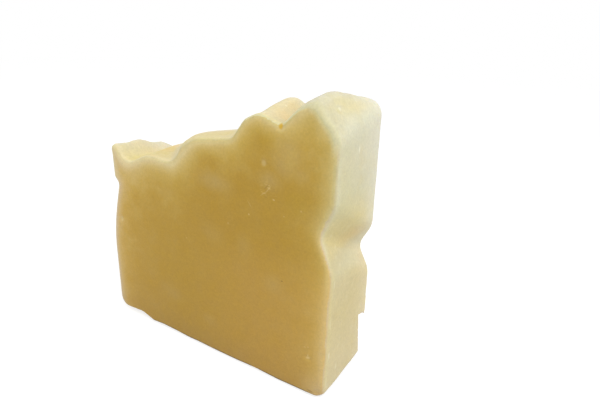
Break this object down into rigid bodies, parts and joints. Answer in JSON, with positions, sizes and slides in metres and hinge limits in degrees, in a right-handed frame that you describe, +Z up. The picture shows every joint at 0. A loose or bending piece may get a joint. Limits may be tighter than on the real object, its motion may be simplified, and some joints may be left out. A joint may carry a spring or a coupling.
{
  "type": "soap bar",
  "caption": "Slice of handmade loaf soap standing on its base: two flat cut faces, a rolling poured top that climbs to one end, and a waist groove across the tall end.",
  "frame": {"origin": "middle of the flat base, under the centre of the box", "axes": "+X along the slice towards its tall end, +Y through its thickness towards the back cut face, +Z up"},
  "size_m": [0.0804, 0.025, 0.079],
  "materials": {
    "soap": "satin, slightly translucent amber soap with a paler cream skin"
  },
  "bodies": {
    "root": {"soap_bar": "soap"}
  },
  "joints": []
}
